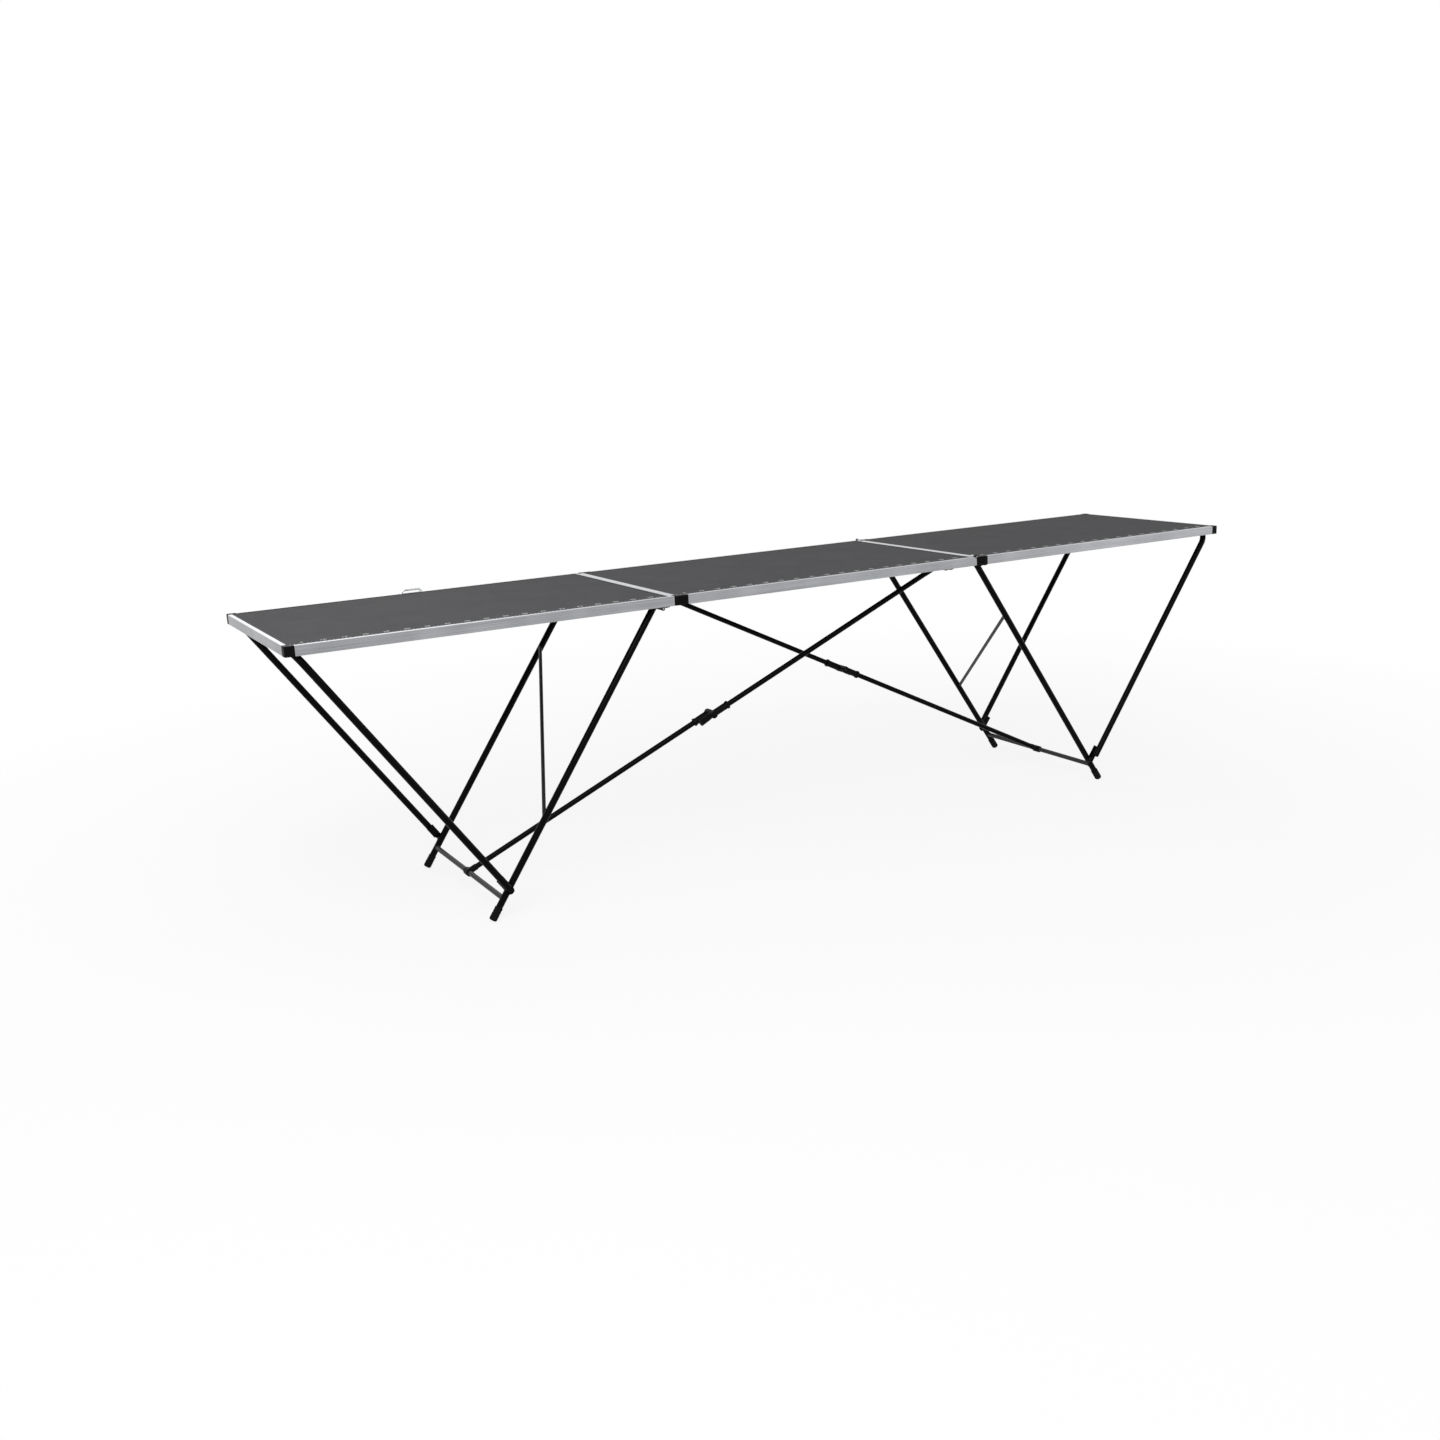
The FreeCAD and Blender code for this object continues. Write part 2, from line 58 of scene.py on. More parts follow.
def putNode(tree, kind, sets=None, links=None):
    # numbered or capitalised keys are sockets, the others are the node's own settings
    node = tree.nodes.new(kind)
    for key, value in (sets or {}).items():
        if isinstance(key, str) and key[0].islower():
            setattr(node, key, value)
        else:
            node.inputs[key].default_value = value
    for key, source in (links or {}).items():
        tree.links.new(source, node.inputs[key])
    return node


def startMaterial(name, shaderSets):
    material = bpy.data.materials.new(name)
    material.use_nodes = True
    tree = material.node_tree
    tree.nodes.clear()
    shader = putNode(tree, "ShaderNodeBsdfPrincipled", shaderSets)
    putNode(tree, "ShaderNodeOutputMaterial", links={"Surface": shader.outputs[0]})
    where = putNode(tree, "ShaderNodeTexCoord").outputs["Object"]
    return material, tree, shader, where


def noiseOf(tree, where, scale, detail, roughness=0.5):
    noise = putNode(tree, "ShaderNodeTexNoise", {
        "Scale": scale, "Detail": detail, "Roughness": roughness}, {"Vector": where})
    return noise.outputs["Fac"]


def rampOf(tree, source, look):
    ramp = putNode(tree, "ShaderNodeValToRGB", links={"Fac": source})
    codes = (look["dark"], look["light"])
    for stop, place, code in zip(ramp.color_ramp.elements, look["stops"], codes):
        stop.position = place
        stop.color = hexColour(code)
    return ramp.outputs["Color"]


def dressShader(tree, shader, colour, gloss, relief, look):
    # roughness follows one pattern, the bump another or the same
    tree.links.new(colour, shader.inputs["Base Color"])
    span = look.get("span", (0.0, 1.0))
    roughness = putNode(tree, "ShaderNodeMapRange", {
        "From Min": span[0], "From Max": span[1],
        "To Min": look["rough"][0], "To Max": look["rough"][1]}, {"Value": gloss})
    tree.links.new(roughness.outputs[0], shader.inputs["Roughness"])
    bump = putNode(tree, "ShaderNodeBump", {
        "Strength": look["bump"], "Distance": look["depth"] * mm}, {"Height": relief})
    tree.links.new(bump.outputs[0], shader.inputs["Normal"])


# Coated hardboard: a rolled-on dark grey lacquer, dull, faintly cloudy, with a fine grit.
# The grit is about 0.8 mm, the clouds 90 mm; both are too weak to see from across a room.
boardLook = {"dark": "#464648", "light": "#4b4b4d", "stops": (0.45, 0.9), "cloud": 90, "grit": 0.8,
             "gritShare": 0.3, "rough": (0.55, 0.7), "bump": 0.05, "depth": 0.2}
hardboard, tree, shader, where = startMaterial("coatedHardboard", {"Specular IOR Level": 0.03})
cloud = noiseOf(tree, where, 1 / (boardLook["cloud"] * mm), 2.0)
grit = noiseOf(tree, where, 1 / (boardLook["grit"] * mm), 2.0)
both = putNode(tree, "ShaderNodeMath", {"operation": "MULTIPLY_ADD", 1: boardLook["gritShare"]},
               {0: grit, 2: cloud})
dressShader(tree, shader, rampOf(tree, both.outputs[0], boardLook), grit, grit, boardLook)

# Extruded aluminium: die lines run along the bar, so highlights smear across it.
# Real die lines are under 0.3 mm apart, drawn here about 1.6 mm apart so that they show.
# Upward faces are painted brighter: a painted highlight that stands in for the light falling on the
# top faces.
railLook = {"dark": "#8c8d90", "light": "#b6b7ba", "stops": (0.48, 0.95), "line": 1.6, "run": 420,
            "haze": 9.0, "hazeShare": 0.4, "rough": (0.3, 0.46), "bump": 0.25, "depth": 0.3,
            "rubbed": "#d2d3d6", "rub": 0.55, "rubFrom": 0.5, "rubTo": 0.9}


def extrudedAluminium(name, alongX):
    material, tree, shader, where = startMaterial(name, {"Metallic": 1.0})
    across, along = 1 / (railLook["line"] * mm), 1 / (railLook["run"] * mm)
    stretch = (along, across, across) if alongX else (across, along, across)
    mapped = putNode(tree, "ShaderNodeMapping", {"Scale": stretch}, {"Vector": where})
    lines = noiseOf(tree, mapped.outputs[0], 1.0, 3.0, 0.65)
    haze = noiseOf(tree, where, railLook["haze"], 2.0)
    both = putNode(tree, "ShaderNodeMath", {"operation": "MULTIPLY_ADD", 1: railLook["hazeShare"]},
                   {0: haze, 2: lines})
    drawn = rampOf(tree, both.outputs[0], railLook)
    # painted highlight: the more a face points up, the more its colour is mixed towards a pale grey
    facing = putNode(tree, "ShaderNodeTexCoord").outputs["Normal"]
    upward = putNode(tree, "ShaderNodeSeparateXYZ", links={"Vector": facing})
    rub = putNode(tree, "ShaderNodeMapRange", {
        "From Min": railLook["rubFrom"], "From Max": railLook["rubTo"], "To Max": railLook["rub"]},
        {"Value": upward.outputs["Z"]})
    sheenedColour = putNode(tree, "ShaderNodeMix", {"data_type": "RGBA", 7: hexColour(railLook["rubbed"])},
                   {0: rub.outputs[0], 6: drawn})
    dressShader(tree, shader, sheenedColour.outputs[2], lines, lines, railLook)
    return material


railAlong = extrudedAluminium("extrudedAluminiumLong", True)
railAcross = extrudedAluminium("extrudedAluminiumShort", False)

# Powder-coated steel tube: deep black with orange peel, scuffed a little greyer low down.
# Peel is about 1 mm on the real tube, drawn at 2.5 mm.
tubeLook = {"dark": "#030303", "light": "#101011", "stops": (0.62, 0.8), "peel": 2.5, "rub": 70.0,
            "rough": (0.2, 0.34), "bump": 0.1, "depth": 0.3, "scuffTop": 160, "scuff": 0.16}
blackTube, tree, shader, where = startMaterial("glossBlackPowderCoat", {"Specular IOR Level": 0.05})
peel = noiseOf(tree, where, 1 / (tubeLook["peel"] * mm), 1.0)
rub = noiseOf(tree, where, tubeLook["rub"], 6.0, 0.7)
height = putNode(tree, "ShaderNodeSeparateXYZ", links={"Vector": where})
lowDown = putNode(tree, "ShaderNodeMapRange", {
    "From Max": tubeLook["scuffTop"] * mm, "To Min": tubeLook["scuff"], "To Max": 0.0},
    {"Value": height.outputs["Z"]})
wear = putNode(tree, "ShaderNodeMath", {"operation": "ADD"}, {0: rub, 1: lowDown.outputs[0]})
dressShader(tree, shader, rampOf(tree, wear.outputs[0], tubeLook), rub, peel, tubeLook)


# The other finishes differ only in colour, grain and gloss, so one function lays them.
def grainyFinish(name, look):
    look = {"stops": (0.32, 0.7), "span": (0.3, 0.7), "depth": 0.3, **look}
    material, tree, shader, where = startMaterial(name, look["shader"])
    grain = noiseOf(tree, where, 1 / (look["grain"] * mm), look["detail"])
    dressShader(tree, shader, rampOf(tree, grain, look), grain, grain, look)
    return material


# Dipped steel bar: thin dark grey paint over drawn bar, so it is satin and a little uneven
greySteel = grainyFinish("dippedGreySteel", {
    "dark": "#1f1f20", "light": "#2b2b2d", "grain": 4.0, "detail": 4.0, "rough": (0.34, 0.5),
    "bump": 0.12, "shader": {"Specular IOR Level": 0.2}})
# Spark-eroded polypropylene: moulded black with a fine even stipple, 0.5 mm drawn at 1.5 mm
blackPlastic = grainyFinish("mouldedPolypropylene", {
    "dark": "#030303", "light": "#090909", "grain": 1.5, "detail": 2.0, "rough": (0.42, 0.6),
    "bump": 0.3, "shader": {"Specular IOR Level": 0.08}})
# Moulded rubber: dull and dusty, with a soft bloom in patches of about 5 mm
footRubber = grainyFinish("mouldedRubber", {
    "dark": "#040404", "light": "#0c0c0c", "grain": 5.0, "detail": 6.0, "rough": (0.6, 0.85),
    "bump": 0.25, "shader": {"Specular IOR Level": 0.1}})
# Bright zinc plate: small crystals of about 3 mm, bluish, each a touch more or less dull
zincPlate = grainyFinish("brightZincPlate", {
    "dark": "#8f9296", "light": "#c6c8cb", "grain": 3.0, "detail": 3.0, "rough": (0.24, 0.42),
    "bump": 0.1, "shader": {"Metallic": 1.0}})
# Nickel-plated wire: nearly white and smooth, with a faint haze from handling
nickelWire = grainyFinish("nickelPlatedWire", {
    "dark": "#c4c6c9", "light": "#eceded", "grain": 6.0, "detail": 3.0, "rough": (0.2, 0.34),
    "bump": 0.05, "shader": {"Metallic": 1.0}})
# Screen print: chalky pale grey ink, broken up slightly by the board's grit
paleInk = grainyFinish("screenPrintInk", {
    "dark": "#a9aaac", "light": "#d2d3d4", "grain": 2.0, "detail": 5.0, "rough": (0.55, 0.7),
    "bump": 0.1, "shader": {"Specular IOR Level": 0.3}})
print("finishes ready")

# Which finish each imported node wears, by the last words of its name
finishOf = {
    "board": hardboard,
    "front_rail": railAlong,
    "back_rail": railAlong,
    "end_rail": railAcross,
    "corner_blocks": blackPlastic,
    "hinge_blocks": blackPlastic,
    "hinge_lugs": zincPlate,
    "hinge_leaves": blackTube,
    "hinge_pins": zincPlate,
    "brackets": blackTube,
    "leg_bolts": zincPlate,
    "strut_pins": zincPlate,
    "strut_clips": blackPlastic,
    "leg_tubes": blackTube,
    "leg_crossbar": greySteel,
    "leg_diagonal": greySteel,
    "leg_feet": footRubber,
    "strut_frame": blackTube,
    "lower_tube": blackTube,
    "upper_tube": blackTube,
    "socket": blackPlastic,
    "brace_sleeve": blackPlastic,
    "knee_pin": greySteel,
    "brace_end": blackTube,
    "handle_lugs": nickelWire,
    "carry_handle": nickelWire,
}
for name, part in nodes.items():
    ending = next(key for key in finishOf if name.endswith(key))
    part.data.materials.clear()
    part.data.materials.append(finishOf[ending])
print("finishes laid on", len(nodes), "nodes")


def addPiece(name, mesh, body):
    piece = bpy.data.objects.new(name, mesh)
    bpy.context.scene.collection.objects.link(piece)
    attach(piece, body)
    return piece


def startTree(name, inputs):
    tree = bpy.data.node_groups.new(name, "GeometryNodeTree")
    tree.interface.new_socket("Geometry", in_out="INPUT", socket_type="NodeSocketGeometry")
    for label, kind in inputs.items():
        tree.interface.new_socket(label, in_out="INPUT", socket_type="NodeSocket" + kind)
    tree.interface.new_socket("Geometry", in_out="OUTPUT", socket_type="NodeSocketGeometry")
    return tree, putNode(tree, "NodeGroupInput").outputs


def endTree(tree, shape, finish, smooth):
    whole = putNode(tree, "GeometryNodeRealizeInstances", links={"Geometry": shape})
    shaded = putNode(tree, "GeometryNodeSetShadeSmooth", {"Shade Smooth": smooth},
                     {"Geometry": whole.outputs[0]})
    painted = putNode(tree, "GeometryNodeSetMaterial", {"Material": finish},
                      {"Geometry": shaded.outputs[0]})
    putNode(tree, "NodeGroupOutput", links={"Geometry": painted.outputs[0]})


def growMesh(name, seedMesh, tree, values):
    # runs the tree once and keeps its result as a plain mesh
    holder = bpy.data.objects.new(name + "Seed", seedMesh)
    bpy.context.scene.collection.objects.link(holder)
    modifier = holder.modifiers.new("tree", "NODES")
    modifier.node_group = tree
    for item in tree.interface.items_tree:
        if item.in_out == "INPUT" and item.name in values:
            modifier[item.identifier] = values[item.name]
    graph = bpy.context.evaluated_depsgraph_get()
    mesh = bpy.data.meshes.new_from_object(holder.evaluated_get(graph), depsgraph=graph)
    holder.modifiers.remove(modifier)
    bpy.data.objects.remove(holder)
    mesh.name = name
    return mesh


def pointMesh(name, places):
    # bare points, each with the way it faces
    mesh = bpy.data.meshes.new(name)
    mesh.from_pydata([place for place, facing in places], [], [])
    facings = mesh.attributes.new("facing", "FLOAT_VECTOR", "POINT")
    for item, (place, facing) in zip(facings.data, places):
        item.vector = facing
    return mesh


def setOnPoints(tree, points, shape):
    # a copy of the shape on each point, its z axis the way the point faces
    facing = putNode(tree, "GeometryNodeInputNamedAttribute", {
        "data_type": "FLOAT_VECTOR", "Name": "facing"})
    turn = putNode(tree, "FunctionNodeAlignRotationToVector", {"axis": "Z"},
                   {"Vector": facing.outputs[0]})
    return putNode(tree, "GeometryNodeInstanceOnPoints", links={
        "Points": points, "Instance": shape, "Rotation": turn.outputs[0]}).outputs[0]


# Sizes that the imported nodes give, so that the trim follows them
panels = ("left", "middle", "right")
midY = (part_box("middle_board")[0][1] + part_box("middle_board")[1][1]) / 2
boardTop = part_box("middle_board")[1][2]
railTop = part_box("middle_front_rail")[1][2]
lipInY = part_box("middle_front_rail")[1][1]
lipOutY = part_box("middle_front_rail")[0][1]
lipDepth = lipInY - lipOutY
panelSpan = {
    "left": (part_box("left_outer_end_rail")[1][0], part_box("left_inner_end_rail")[0][0]),
    "middle": (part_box("middle_left_end_rail")[1][0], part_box("middle_right_end_rail")[0][0]),
    "right": (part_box("right_inner_end_rail")[1][0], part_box("right_outer_end_rail")[0][0]),
}

# Black strip between board and rail, all round each board: painted shade, a dark strip put in the
# shadowed gap under the rail lips
shadeStripSize = {"width": 5.5 * mm, "sink": 0.1 * mm, "crown": 0.1 * mm, "flat": 0.35, "shoulder": 0.8,
            "swell": 0.2 * mm}


def shadeStripMesh(name, x0, x1, y0, y1):
    width, low, high = shadeStripSize["width"], boardTop - shadeStripSize["sink"], railTop - shadeStripSize["crown"]
    profile = [(0.0, low), (0.0, high), (width * shadeStripSize["flat"], high),
               (width * shadeStripSize["shoulder"], (low + high) / 2 + shadeStripSize["swell"]), (width, low)]
    corners = [(x0, y0, 1, 1), (x1, y0, -1, 1), (x1, y1, -1, -1), (x0, y1, 1, -1)]
    points = [(x + sx * inset, y + sy * inset, z)
              for x, y, sx, sy in corners for inset, z in profile]
    count = len(profile)
    faces = []
    for corner in range(4):
        here, after = corner * count, (corner + 1) % 4 * count
        for k in range(count):
            step = (k + 1) % count
            faces.append((after + k, after + step, here + step, here + k))
    mesh = bpy.data.meshes.new(name)
    mesh.from_pydata(points, [], faces)
    # painted shade: the strip is black where there is only shadow between board and rail
    mesh.materials.append(blackPlastic)
    return mesh


backY = 2 * midY - lipInY
for side in panels:
    x0, x1 = panelSpan[side]
    name = side + "EdgeBead"
    addPiece(name, shadeStripMesh(name, x0, x1, lipInY, backY), side + "_panel")
# the edge strips laid here are painted shade
print("edge beads laid")

# Printed scale behind the front rail: a tick every 10 mm, a longer one and a figure every 50 mm
scaleSize = {"fine": 10 * mm, "coarse": 50 * mm, "fineTick": (1.2 * mm, 11 * mm, 0.12 * mm),
             "coarseTick": (2.0 * mm, 15 * mm, 0.12 * mm), "digit": 11.5 * mm, "gap": 2.5 * mm,
             "margin": 11.5 * mm, "inkHalf": 0.03 * mm, "capShare": 0.72, "bold": 0.25 * mm,
             "figureStep": 5}
tickTree, given = startTree("scaleTicks", {
    "Start": "Vector", "Length": "Float", "Step": "Float", "Tick Size": "Vector",
    "Coarse Step": "Float", "Coarse Size": "Vector"})
rows = []
for stepName, sizeName in (("Step", "Tick Size"), ("Coarse Step", "Coarse Size")):
    share = putNode(tickTree, "ShaderNodeMath", {"operation": "DIVIDE"},
                    {0: given["Length"], 1: given[stepName]})
    whole = putNode(tickTree, "ShaderNodeMath", {"operation": "FLOOR"}, {0: share.outputs[0]})
    stride = putNode(tickTree, "ShaderNodeCombineXYZ", links={"X": given[stepName]})
    first = putNode(tickTree, "ShaderNodeVectorMath", {"operation": "ADD"},
                    {0: given["Start"], 1: stride.outputs[0]})
    line = putNode(tickTree, "GeometryNodeMeshLine", {"mode": "OFFSET"}, {
        "Count": whole.outputs[0], "Start Location": first.outputs[0], "Offset": stride.outputs[0]})
    half = putNode(tickTree, "ShaderNodeVectorMath", {"operation": "MULTIPLY", 1: (0.0, 0.5, 0.0)},
                   {0: given[sizeName]})
    tick = putNode(tickTree, "GeometryNodeMeshCube", links={"Size": given[sizeName]})
    moved = putNode(tickTree, "GeometryNodeTransform", links={
        "Geometry": tick.outputs[0], "Translation": half.outputs[0]})
    rows.append(putNode(tickTree, "GeometryNodeInstanceOnPoints", links={
        "Points": line.outputs[0], "Instance": moved.outputs[0]}))
joined = putNode(tickTree, "GeometryNodeJoinGeometry")
for row in rows:
    tickTree.links.new(row.outputs[0], joined.inputs[0])
endTree(tickTree, joined.outputs[0], paleInk, False)


def numberMesh(name, values, y):
    # plain figures, centred on their ticks and joined into one mesh
    points, faces = [], []
    for x, figure in values:
        text = bpy.data.curves.new("figure", "FONT")
        text.body = figure
        text.size = scaleSize["digit"] / scaleSize["capShare"]
        text.align_x = "CENTER"
        text.extrude = scaleSize["inkHalf"]
        text.offset = scaleSize["bold"]
        text.resolution_u = 3
        holder = bpy.data.objects.new("figure", text)
        mesh = bpy.data.meshes.new_from_object(holder)
        first = len(points)
        points += [(x + v.co.x, y + v.co.y, boardTop + scaleSize["inkHalf"] + v.co.z)
                   for v in mesh.vertices]
        faces += [[first + k for k in face.vertices] for face in mesh.polygons]
        bpy.data.objects.remove(holder)
        bpy.data.meshes.remove(mesh)
    whole = bpy.data.meshes.new(name)
    whole.from_pydata(points, [], faces)
    whole.materials.append(paleInk)
    return whole


tickY = lipInY + shadeStripSize["width"]
digitY = tickY + scaleSize["coarseTick"][1] + scaleSize["gap"]
for side in panels:
    x0, x1 = panelSpan[side]
    zeroX = x0 - lipDepth
    length = x1 - zeroX - scaleSize["margin"]
    name = side + "ScaleTicks"
    ticks = growMesh(name, bpy.data.meshes.new(name + "Seed"), tickTree, {
        "Start": (zeroX, tickY, boardTop), "Length": length,
        "Step": scaleSize["fine"], "Tick Size": scaleSize["fineTick"],
        "Coarse Step": scaleSize["coarse"], "Coarse Size": scaleSize["coarseTick"]})
    addPiece(name, ticks, side + "_panel")
    count = math.floor(length / scaleSize["coarse"])
    values = [(zeroX + k * scaleSize["coarse"], str(scaleSize["figureStep"] * k))
              for k in range(1, count + 1)]
    name = side + "ScaleNumbers"
    addPiece(name, numberMesh(name, values, digitY), side + "_panel")
print("printed scales laid")

# Blind rivets: a low dome with the broken-off mandrel in the middle, sized as a share of the head
rivetSize = {"Head Radius": 4.2 * mm, "Head Height": 1.5 * mm,
             "mandrelRadius": 0.3, "mandrelLength": 2.35}
rivetTree, given = startTree("blindRivets", {"Head Radius": "Float", "Head Height": "Float"})
ball = putNode(rivetTree, "GeometryNodeMeshUVSphere", {"Segments": 16, "Rings": 8, "Radius": 1.0})
squash = putNode(rivetTree, "ShaderNodeCombineXYZ", links={
    "X": given["Head Radius"], "Y": given["Head Radius"], "Z": given["Head Height"]})
dome = putNode(rivetTree, "GeometryNodeTransform", links={
    "Geometry": ball.outputs[0], "Scale": squash.outputs[0]})
stub = putNode(rivetTree, "GeometryNodeMeshCylinder", {
    "Vertices": 10, "Radius": rivetSize["mandrelRadius"], "Depth": rivetSize["mandrelLength"]})
mandrel = putNode(rivetTree, "GeometryNodeTransform", links={
    "Geometry": stub.outputs[0], "Scale": squash.outputs[0]})
head = putNode(rivetTree, "GeometryNodeJoinGeometry")
rivetTree.links.new(dome.outputs[0], head.inputs[0])
rivetTree.links.new(mandrel.outputs[0], head.inputs[0])
endTree(rivetTree, setOnPoints(rivetTree, given["Geometry"], head.outputs[0]), greySteel, False)

down = (0.0, 0.0, -1.0)
rivetRow = {"bracket": 6.5 * mm, "bracketLength": 32 * mm, "pitch": 7.0 * mm,
            "leaf": 4.5 * mm, "leafEnd": 6.0 * mm, "leafLength": 24.7 * mm, "leafThick": 2.0 * mm,
            "clip": 8.0 * mm, "clipRow": 120 * mm, "clipThick": 3.0 * mm}


def mirrored(x, y, z):
    return [((x, midY + s * (y - midY), z), down) for s in (1, -1)]


rivetPlaces = {side + "_panel": [] for side in panels}
for side, sign in (("left", -1), ("right", 1)):
    low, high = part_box(side + "_leg_brackets")
    middle = (low[0] + high[0]) / 2
    for x in (middle - rivetRow["pitch"], middle + rivetRow["pitch"]):
        rivetPlaces[side + "_panel"] += mirrored(x, lipOutY + rivetRow["bracket"], low[2])
    low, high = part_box(side + "_strut_clips")
    inner = high[0] - rivetRow["clip"] if sign < 0 else low[0] + rivetRow["clip"]
    under = high[2] - rivetRow["clipThick"]
    rivetPlaces[side + "_panel"] += mirrored(inner, midY + rivetRow["clipRow"], under)
for name, body, sign in (("left_hinge_leaves", "left_panel", -1),
                         ("middle_hinge_leaves", "middle_panel", 1)):
    low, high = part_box(name)
    edge = (low[0] if sign < 0 else high[0]) - sign * rivetRow["leaf"]
    outer = midY - low[1]
    for y in (outer - rivetRow["leafEnd"], outer - rivetRow["leafLength"] + rivetRow["leafEnd"]):
        rivetPlaces[body] += mirrored(edge, midY + y, high[2] - rivetRow["leafThick"])
low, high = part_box("middle_brace_brackets")
rowY = lipOutY + rivetRow["bracket"]
for x in (rivetRow["pitch"], rivetRow["bracketLength"] - rivetRow["pitch"]):
    rivetPlaces["middle_panel"].append(((high[0] - x, rowY, low[2]), down))
    rivetPlaces["middle_panel"].append(((low[0] + x, 2 * midY - rowY, low[2]), down))
for body, places in rivetPlaces.items():
    name = body.split("_")[0] + "Rivets"
    heads = growMesh(name, pointMesh(name + "Points", places), rivetTree, rivetSize)
    addPiece(name, heads, body)
print("rivets set:", sum(len(p) for p in rivetPlaces.values()))

# Left leg set in its own frame, in mm: the right set is the same one turned half round
legSize = {"pivot": (-528.0, 765.0), "run": (-0.56216, -0.82703), "row": 252.0, "topOver": 5.0,
           "crossbar": (-1011.46, 53.757), "crossbarRadius": 7.0, "tubeRadius": 9.0}
strutSize = {"top": (-1479.0, 765.0), "run": (0.573845, -0.818964), "row": 278.0, "cut": 825.2}


def setPoint(side, x, y, z):
    sign = 1 if side == "left" else -1
    return Vector((sign * x * mm, sign * y * mm + midY, z * mm))


def setFacing(side, x, z):
    return Vector((x if side == "left" else -x, 0.0, z))


def pointAlong(start, run, distance):
    return [start[k] + distance * run[k] for k in (0, 1)]


# End plugs in the open tube ends: low domes
plugSize = {"Rim Radius": 7.9 * mm, "Dome Height": 1.4 * mm}
plugTree, given = startTree("tubePlugs", {"Rim Radius": "Float", "Dome Height": "Float"})
spread = putNode(plugTree, "ShaderNodeCombineXYZ", links={
    "X": given["Rim Radius"], "Y": given["Rim Radius"], "Z": given["Dome Height"]})
ball = putNode(plugTree, "GeometryNodeMeshUVSphere", {"Segments": 24, "Rings": 10, "Radius": 1.0})
dome = putNode(plugTree, "GeometryNodeTransform", links={
    "Geometry": ball.outputs[0], "Scale": spread.outputs[0]})
endTree(plugTree, setOnPoints(plugTree, given["Geometry"], dome.outputs[0]), blackPlastic, True)
for side in sides:
    legTop = pointAlong(legSize["pivot"], legSize["run"], -legSize["topOver"])
    strutFoot = pointAlong(strutSize["top"], strutSize["run"], strutSize["cut"])
    for label, body, end, row, run in (
            ("LegPlugs", "_leg", legTop, legSize["row"], [-c for c in legSize["run"]]),
            ("StrutPlugs", "_strut", strutFoot, strutSize["row"], strutSize["run"])):
        places = [(setPoint(side, end[0], y, end[1]), setFacing(side, *run)) for y in (row, -row)]
        name = side + label
        plugs = growMesh(name, pointMesh(name + "Points", places), plugTree, plugSize)
        addPiece(name, plugs, side + body)
print("tube ends plugged")

# Weld beads where the crossbar meets the leg tubes: a rippled fillet on the saddle line
weldSize = {"Bead Radius": 1.5 * mm, "Ripple": 0.45 * mm, "Ripple Pitch": 1.8 * mm,
            "points": 48, "samples": 120}
weldTree, given = startTree("weldBeads", {
    "Bead Radius": "Float", "Ripple": "Float", "Ripple Pitch": "Float"})
line = putNode(weldTree, "GeometryNodeMeshToCurve", links={"Mesh": given["Geometry"]})
finer = putNode(weldTree, "GeometryNodeResampleCurve", {"Count": weldSize["samples"]},
                {"Curve": line.outputs[0]})
along = putNode(weldTree, "GeometryNodeSplineParameter")
beat = putNode(weldTree, "ShaderNodeMath", {"operation": "DIVIDE"},
               {0: along.outputs["Length"], 1: given["Ripple Pitch"]})
phase = putNode(weldTree, "ShaderNodeMath", {"operation": "MULTIPLY", 1: 2 * math.pi},
                {0: beat.outputs[0]})
wave = putNode(weldTree, "ShaderNodeMath", {"operation": "SINE"}, {0: phase.outputs[0]})
girth = putNode(weldTree, "ShaderNodeMath", {"operation": "MULTIPLY_ADD"}, {
    0: wave.outputs[0], 1: given["Ripple"], 2: given["Bead Radius"]})
ring = putNode(weldTree, "GeometryNodeCurvePrimitiveCircle", {"Resolution": 8, "Radius": 1.0})
swept = putNode(weldTree, "GeometryNodeCurveToMesh", {"Fill Caps": False}, {
    "Curve": finer.outputs[0], "Profile Curve": ring.outputs[0], "Scale": girth.outputs[0]})
endTree(weldTree, swept.outputs[0], greySteel, True)
for side in sides:
    points, edges = [], []
    runX, runZ = legSize["run"]
    for sign in (1, -1):
        first = len(points)
        for k in range(weldSize["points"]):
            angle = 2 * math.pi * k / weldSize["points"]
            alongLeg = legSize["crossbarRadius"] * math.cos(angle)
            offLeg = legSize["crossbarRadius"] * math.sin(angle)
            reach = math.sqrt(legSize["tubeRadius"] ** 2 - offLeg ** 2)
            points.append(setPoint(side, legSize["crossbar"][0] + alongLeg * runX + offLeg * runZ,
                                   sign * (legSize["row"] - reach),
                                   legSize["crossbar"][1] + alongLeg * runZ - offLeg * runX))
            edges.append((first + k, first + (k + 1) % weldSize["points"]))
    name = side + "CrossbarWelds"
    seed = bpy.data.meshes.new(name + "Line")
    seed.from_pydata(points, edges, [])
    addPiece(name, growMesh(name, seed, weldTree, weldSize), side + "_leg")
print("crossbars welded")


